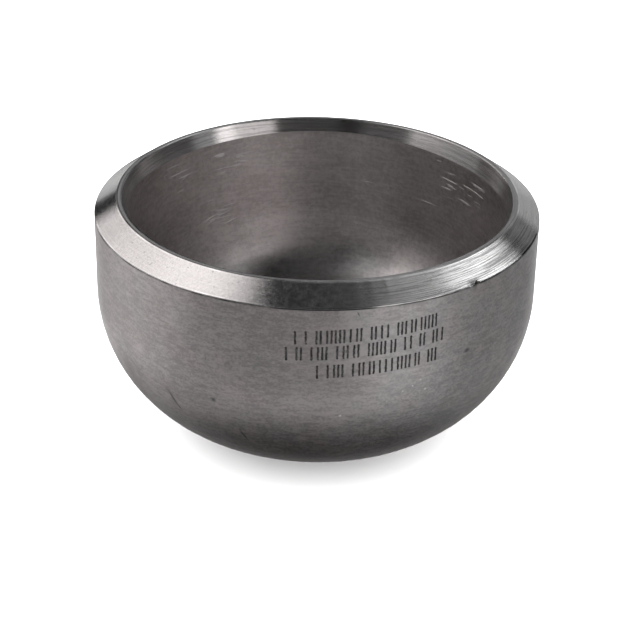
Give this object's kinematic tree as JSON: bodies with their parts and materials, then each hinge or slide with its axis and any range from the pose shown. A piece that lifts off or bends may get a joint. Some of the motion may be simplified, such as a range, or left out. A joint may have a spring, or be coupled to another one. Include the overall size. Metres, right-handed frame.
{
  "type": "pipe cap",
  "caption": "Butt-weld pipe cap: a short round flange closed by a rounded dome, with a bevelled open end for welding to a pipe.",
  "frame": {"origin": "lowest point of the dome, on the cap's axis", "axes": "+Z along the axis, up and out through the open weld end; the cap is the same all round, so +X and +Y are free"},
  "size_m": [0.0888, 0.0888, 0.051],
  "materials": {
    "stainless_forging": "pickled matte grey outside and inside, with a bright turned bevel, land and band at the mouth"
  },
  "bodies": {
    "root": {"pipe_cap": "stainless_forging"}
  },
  "joints": []
}
